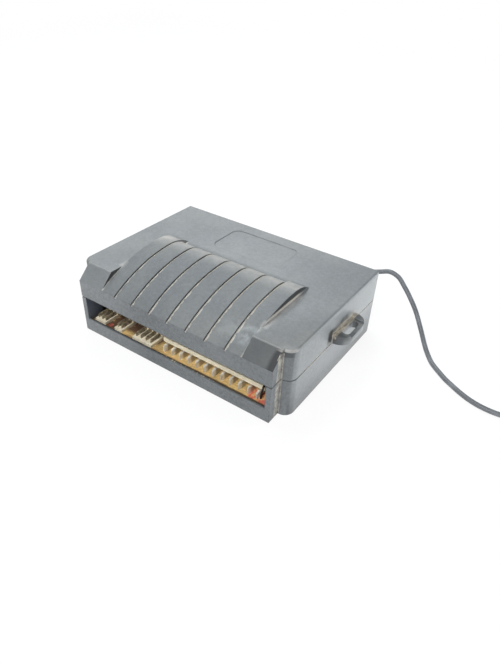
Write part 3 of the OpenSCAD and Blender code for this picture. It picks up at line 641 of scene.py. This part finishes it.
def tapered_pins(node, count, pitch, size, material):
    """A row of right-angle pins with tapered tips, drawn out of a cube at the bend."""
    low, high = node_box(node)
    taper = 1.5 * size
    bend = Vector((low.x + size / 2, high.y - size / 2, high.z - size / 2))
    bpy.ops.object.select_all(action="DESELECT")
    bpy.ops.mesh.primitive_cube_add(size=size)
    pins = bpy.context.object
    pins.name = node + "_tapered"
    bpy.context.tool_settings.mesh_select_mode = (False, False, True)
    pick_end(pins, Vector((0, 0, -1)))
    bpy.ops.mesh.extrude_region_move(TRANSFORM_OT_translate={"value": (0, 0, low.z - bend.z + size / 2)})
    pick_end(pins, Vector((0, -1, 0)))
    bpy.ops.mesh.extrude_region_move(TRANSFORM_OT_translate={"value": (0, low.y - bend.y + size / 2 + taper, 0)})
    bpy.ops.mesh.extrude_region_move(TRANSFORM_OT_translate={"value": (0, -taper, 0)})
    bpy.ops.transform.resize(value=(0.45, 1, 0.4), center_override=(0, low.y - bend.y, 0.35 * size))
    bpy.ops.mesh.select_all(action="SELECT")
    bpy.ops.mesh.bevel(offset=0.09 * size, segments=2, affect="EDGES", clamp_overlap=True)
    bpy.ops.mesh.normals_make_consistent(inside=False)
    bpy.ops.object.mode_set(mode="OBJECT")
    pins.location = bend
    bpy.ops.object.transform_apply(location=True, rotation=False, scale=False)
    row = pins.modifiers.new("row", "ARRAY")
    row.count = count
    row.use_relative_offset = False
    row.use_constant_offset = True
    row.constant_offset_displace = (pitch, 0, 0)
    bpy.ops.object.modifier_apply(modifier="row")
    bpy.ops.object.shade_smooth_by_angle(angle=0.6)
    pins.data.materials.append(material)
    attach(pins, BODY)
    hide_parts(node)


class MODULE_OT_connectors(ModuleOperator):
    """Makes the tapered pins and finishes the headers and the jumper link"""

    bl_idname = "module.connectors"
    bl_label = "Connectors"

    def execute(self, context):
        look = self.look
        r = Recipe("header_nylon")
        age = r.rise(r.grain(260, 4), 0.38, 0.66)
        small = r.times(r.off(r.rise(r.x, -10 * MM, -9 * MM)), r.rise(r.y, -33.4 * MM, -32.4 * MM))
        grime_and_shade = r.times(r.rise(r.grain(900, 4, 0.65), 0.50, 0.70), r.lerp(small, 0.12, 0.35))
        colour = r.blend(age, look.finishes.nylon, shade(look.finishes.nylon, 0.86))
        colour = r.blend(grime_and_shade, colour, (0.36, 0.27, 0.15))
        r.finish(base_color=colour, roughness=r.lerp(age, 0.42, 0.55),
                 normal=r.bump(r.grain(1800), 0.02 * MM, 0.4, r.soften(0.15 * MM)))
        dress(r.material, "main_header", "four_way_header", "two_way_header", "three_way_header")

        r = Recipe("tinned_pin")
        # Tarnish at random, and painted shade along the pins behind their tips
        dimmed = r.most(r.times(r.rise(r.grain(700, 4, 0.6), 0.40, 0.68), 0.6),
                      r.times(r.rise(r.y, -32.8 * MM, -31.8 * MM), r.off(r.rise(r.y, -25 * MM, -24 * MM)), 0.85))
        r.finish(base_color=r.blend(dimmed, look.finishes.tin, (0.42, 0.36, 0.27)), metallic=0.2,
                 roughness=r.lerp(dimmed, 0.25, 0.4))
        dress(r.material, "relay_pins", "controller_legs", "capacitor_leads", "regulator_legs", "resistor_leads",
              "diode_leads", "transistor_leads", "receiver_pins")
        tapered_pins("main_header_pins", 12, LARGE_PITCH, LARGE_PIN, r.material)

        r = Recipe("tarnished_pin")
        dimmed = r.rise(r.grain(900, 4, 0.6), 0.35, 0.65)
        r.finish(base_color=r.blend(dimmed, (0.44, 0.37, 0.26), (0.16, 0.13, 0.09)), metallic=0.25,
                 roughness=r.lerp(dimmed, 0.36, 0.6))
        for node, count, pitch in SMALL_ROWS:
            tapered_pins(node, count, pitch, SMALL_PIN, r.material)

        r = Recipe("link_sleeve")
        wear_and_shade = r.rise(r.grain(1200, 3), 0.4, 0.65)
        r.finish(base_color=r.blend(wear_and_shade, (0.010, 0.010, 0.011), (0.030, 0.030, 0.032)),
                 roughness=r.lerp(wear_and_shade, 0.4, 0.6))
        dress(r.material, "jumper_link")
        return {"FINISHED"}


def laminate(look):
    """Bare tan paper laminate with dabs of ink and specks near its front edge, dark patches by the headers, and
    painted shade along its front edge.
    """
    r = Recipe("board_laminate")
    fibre = r.grain(700, 5, 0.62, (1.0, 3.2, 1.0))
    cloud = r.grain(90, 3)
    tone = r.rise(r.add(r.times(fibre, 0.6), r.times(cloud, 0.4)), 0.36, 0.64)
    colour = r.blend(tone, shade(look.finishes.board, 0.66), shade(look.finishes.board, 1.2))
    strokes = r.lerp(r.rise(r.grain(620, 3, 0.6, (1.0, 0.55, 1.0)), 0.44, 0.54), 0.25, 1.0)
    right = r.times(r.band(r.x, 35.2 * MM, 42.8 * MM, 1.2 * MM), r.band(r.y, -34.2 * MM, -29 * MM, 0.7 * MM))
    left = r.times(r.band(r.x, -35.4 * MM, -34.2 * MM, 0.4 * MM),
                   r.band(r.y, -34.0 * MM, -32.8 * MM, 0.4 * MM), 0.75)
    # Dark brown between the three-way and two-way headers, and darker board behind the small headers
    dark_patches = r.times(
        r.most(r.band(r.x, -36.4 * MM, -31 * MM, 1 * MM),
               r.times(r.off(r.rise(r.x, -11 * MM, -9 * MM)), r.rise(r.y, -33.8 * MM, -30.5 * MM))),
        r.rise(r.grain(520, 4, 0.65), 0.26, 0.48), 0.94)
    colour = r.blend(dark_patches, colour, (0.10, 0.05, 0.035))
    ink = r.times(r.most(right, left), strokes, 0.85)
    colour = r.blend(ink, colour, look.finishes.ink)
    rust = r.times(r.off(r.rise(r.y, -34.5 * MM, -33.7 * MM)), r.rise(r.grain(300, 3), 0.36, 0.6), 0.5)
    colour = r.blend(rust, colour, (0.30, 0.11, 0.05))
    # Painted shade, dark along the front edge of the board in the gap behind the sill
    reach = r.lerp(r.rise(r.x, -25 * MM, 20 * MM), -34.9 * MM, -34.35 * MM)
    gap_shade_y = r.add(r.y, r.times(r.grain(600, 4, 0.6), 0.8 * MM), -0.4 * MM)
    edge = r.times(r.off(r.rise(r.math("SUBTRACT", gap_shade_y, reach), -0.15 * MM, 0.15 * MM)), 0.85)
    colour = r.blend(edge, colour, (0.05, 0.036, 0.026))
    specks = r.times(r.rise(r.grain(900, 2), 0.70, 0.74), 0.8)
    colour = r.blend(specks, colour, (0.10, 0.06, 0.03))
    return r.finish(base_color=colour, roughness=r.lerp(tone, 0.5, 0.64),
                    normal=r.bump(fibre, 0.03 * MM, 0.5))


class MODULE_OT_board(ModuleOperator):
    """Finishes the circuit board and the parts behind the connectors"""

    bl_idname = "module.board"
    bl_label = "Board"

    def execute(self, context):
        look = self.look
        dress(laminate(look), "circuit_board")

        r = Recipe("relay_case")
        haze = r.rise(r.grain(240, 3), 0.4, 0.65)
        r.finish(base_color=r.blend(haze, (0.045, 0.085, 0.20), (0.06, 0.11, 0.25)),
                 roughness=r.lerp(haze, 0.26, 0.4), normal=r.soften(0.3 * MM))
        dress(r.material, "relays")

        r = Recipe("chip_epoxy")
        fine = r.grain(2400, 3)
        r.finish(base_color=r.blend(fine, (0.018, 0.018, 0.020), (0.034, 0.034, 0.036)),
                 roughness=r.lerp(fine, 0.5, 0.66), normal=r.bump(fine, 0.03 * MM, 0.5, r.soften(0.15 * MM)))
        dress(r.material, "controller", "regulator", "diodes", "transistors")

        r = Recipe("capacitor_sleeve")
        lid = r.rise(r.z, CAPACITOR_TOP - 0.05 * MM, CAPACITOR_TOP + 0.05 * MM)
        haze = r.grain(500, 3)
        sleeve = r.blend(haze, (0.02, 0.035, 0.10), (0.035, 0.055, 0.14))
        r.finish(base_color=r.blend(lid, sleeve, (0.72, 0.72, 0.71)), metallic=lid,
                 roughness=r.lerp(haze, 0.25, 0.4), normal=r.soften(0.2 * MM))
        dress(r.material, "reservoir_capacitors")

        r = Recipe("tab_aluminium")
        brushed = r.grain(900, 3, 0.6, (0.1, 1.0, 1.0))
        r.finish(base_color=r.blend(brushed, (0.62, 0.62, 0.61), (0.78, 0.78, 0.77)), metallic=1.0,
                 roughness=r.lerp(brushed, 0.3, 0.46))
        dress(r.material, "regulator_tab")

        r = Recipe("can_steel")
        haze = r.rise(r.grain(420, 4), 0.36, 0.64)
        r.finish(base_color=r.blend(haze, (0.60, 0.60, 0.59), (0.76, 0.75, 0.73)), metallic=1.0,
                 roughness=r.lerp(haze, 0.24, 0.4), normal=r.soften(0.3 * MM))
        dress(r.material, "crystal", "receiver_can")

        r = Recipe("resistor_lacquer")
        along = r.math("WRAP", r.math("SUBTRACT", r.x, -2 * MM), 7 * MM, -7 * MM)
        fine = r.grain(900, 3)
        colour = r.blend(fine, (0.52, 0.38, 0.22), (0.62, 0.47, 0.28))
        for spot, ring in ((-2.1, (0.12, 0.05, 0.02)), (-0.9, (0.02, 0.02, 0.02)), (0.3, (0.45, 0.03, 0.02)),
                           (2.0, (0.55, 0.38, 0.10))):
            colour = r.blend(r.band(along, (spot - 0.3) * MM, (spot + 0.3) * MM, 0.04 * MM), colour, ring)
        r.finish(base_color=colour, roughness=r.lerp(fine, 0.3, 0.42), normal=r.soften(0.3 * MM))
        dress(r.material, "resistors")

        r = Recipe("receiver_laminate")
        weave = r.grain(1400, 3)
        r.finish(base_color=r.blend(weave, (0.03, 0.12, 0.05), (0.05, 0.18, 0.08)),
                 roughness=r.lerp(weave, 0.3, 0.44))
        dress(r.material, "receiver_board")

        r = Recipe("solder")
        haze = r.rise(r.grain(1100, 3), 0.36, 0.64)
        r.finish(base_color=r.blend(haze, (0.58, 0.58, 0.57), (0.76, 0.76, 0.75)), metallic=1.0,
                 roughness=r.lerp(haze, 0.22, 0.42))
        dress(r.material, "solder_joints")
        return {"FINISHED"}


def lamp(name, place, target, size, watts, length=None, along=(0, 0, 1), colour=(1, 1, 1), shine=True):
    """A round soft lamp, or a long one that runs along a direction; without shine it makes no highlights."""
    bpy.ops.object.light_add(type="AREA", location=place)
    light = bpy.context.object
    light.name = name
    light.data.shape = "RECTANGLE" if length else "DISK"
    light.data.size = size
    light.data.size_y = length or size
    light.data.energy = watts
    light.data.color = colour
    light.visible_glossy = shine
    back = (Vector(place) - Vector(target)).normalized()
    side = Vector(along).cross(back).normalized()
    turned = Matrix((side, back.cross(side), back)).transposed().to_4x4()
    light.matrix_world = Matrix.Translation(place) @ turned


def seen_rays(r):
    """1 for the rays that show the background: to the camera, in mirrors and through glass."""
    rays = r.node("ShaderNodeLightPath").outputs
    return r.most(rays["Is Camera Ray"], rays["Is Glossy Ray"], rays["Is Transmission Ray"])


def only_shader(r, output):
    """Makes a shader the whole of a material."""
    r.tree.links.new(output, r.tree.nodes["Material Output"].inputs["Surface"])
    r.tree.nodes.remove(r.shader)
    return r.material


def white_wall(level):
    """A backdrop that looks white, also in mirrors and through glass, and gives no more light than the sky."""
    r = Recipe("backdrop_white")
    return only_shader(r, r.node("ShaderNodeEmission", None, r.lerp(seen_rays(r), level, 1.0)).outputs[0])


def white_table(strength):
    """A table that looks white, also in mirrors and through glass, and throws light back, most on the right."""
    r = Recipe("floor_white")
    place = r.add(r.times(r.x, 0.3), r.times(r.y, 0.95))
    left = r.times(r.off(r.rise(r.x, -0.06, 0.03)), r.off(r.rise(r.y, -0.05, -0.03)))
    share = r.add(0.47, r.times(left, 0.5), r.times(r.rise(place, -0.03, 0.002), 0.5),
                  r.times(r.rise(place, 0.025, 0.085), 0.82))
    glow = r.node("ShaderNodeEmission", None, r.lerp(seen_rays(r), r.times(share, strength), 1.0)).outputs[0]
    paint = r.node("ShaderNodeBsdfDiffuse", FLOOR_PAINT).outputs[0]
    far = r.rise(r.most(r.size(r.x), r.size(r.y)), 0.35, 0.8)
    mixed = r.node("ShaderNodeMixShader", r.lerp(far, FLOOR_GLOW, 1.0), paint, glow).outputs[0]
    return only_shader(r, mixed)


class MODULE_OT_studio(ModuleOperator):
    """Makes the pale floor, the lamps and the surrounding light"""

    bl_idname = "module.studio"
    bl_label = "Studio"

    def execute(self, context):
        studio = self.look.studio
        bpy.ops.object.select_all(action="DESELECT")
        bpy.ops.mesh.primitive_plane_add(size=FLOOR_SIZE, location=(0, 0, FLOOR_Z))
        floor = context.object
        floor.name = "floor"
        floor.data.materials.append(white_table(studio.table))
        bpy.ops.mesh.primitive_cylinder_add(vertices=96, radius=FLOOR_SIZE / 2, depth=BACKDROP_H,
                                            end_fill_type="NOTHING", location=(0, 0, BACKDROP_H / 2))
        backdrop = context.object
        backdrop.name = "backdrop"
        backdrop.data.materials.append(white_wall(studio.sky))

        lamp("key_lamp", (-0.44, 0.30, 0.85), (0, 0, 0.015), 0.5, studio.key, 1.2, (0, -0.94, 0.34),
             (0.945, 0.985, 0.99))
        lamp("front_lamp", (-0.10, -0.70, 0.30), (0, -0.03, 0.01), 0.5, studio.front)
        lamp("bay_lamp", (0.08, -0.58, 0.66), (0, -0.03, 0.01), 0.4, studio.bay)
        lamp("side_lamp", (0.66, 0.55, 0.18), (0.03, 0, 0.015), 0.5, studio.side, shine=False)

        world = bpy.data.worlds.new("studio_sky")
        context.scene.world = world
        world.use_nodes = True
        sky = world.node_tree.nodes["Background"]
        sky.inputs["Color"].default_value = (0.88, 0.96, 1, 1)
        sky.inputs["Strength"].default_value = studio.sky
        context.scene.view_settings.view_transform = "Standard"
        return {"FINISHED"}


class ModuleLook(bpy.types.PropertyGroup):
    """All that a user may change"""

    finishes: bpy.props.PointerProperty(type=ModuleFinishes)
    sizes: bpy.props.PointerProperty(type=ModuleSizes)
    studio: bpy.props.PointerProperty(type=ModuleStudio)


STEPS = (MODULE_OT_camera, MODULE_OT_antenna, MODULE_OT_case, MODULE_OT_connectors, MODULE_OT_board,
         MODULE_OT_studio)


class MODULE_PT_sidebar(bpy.types.Panel):
    """Lists the steps and what can be changed"""

    bl_idname = "MODULE_PT_sidebar"
    bl_label = "Control Module"
    bl_space_type = "VIEW_3D"
    bl_region_type = "UI"
    bl_category = "Module"

    def draw(self, context):
        look = context.scene.module_look
        for step in STEPS:
            self.layout.operator(step.bl_idname)
        for title, group in (("Finishes", look.finishes), ("Sizes", look.sizes), ("Studio", look.studio)):
            box = self.layout.box()
            box.label(text=title)
            for name in group.__annotations__:
                box.prop(group, name)


CLASSES = (ModuleFinishes, ModuleSizes, ModuleStudio, ModuleLook, *STEPS, MODULE_PT_sidebar)


def register():
    for cls in CLASSES:
        bpy.utils.register_class(cls)
    bpy.types.Scene.module_look = bpy.props.PointerProperty(type=ModuleLook)


def unregister():
    del bpy.types.Scene.module_look
    for cls in reversed(CLASSES):
        bpy.utils.unregister_class(cls)


def main():
    register()
    bpy.ops.object.select_all(action="DESELECT")
    bpy.ops.module.camera()
    bpy.ops.module.antenna()
    bpy.ops.module.case()
    bpy.ops.module.connectors()
    bpy.ops.module.board()
    bpy.ops.module.studio()


if __name__ == "__main__":
    main()
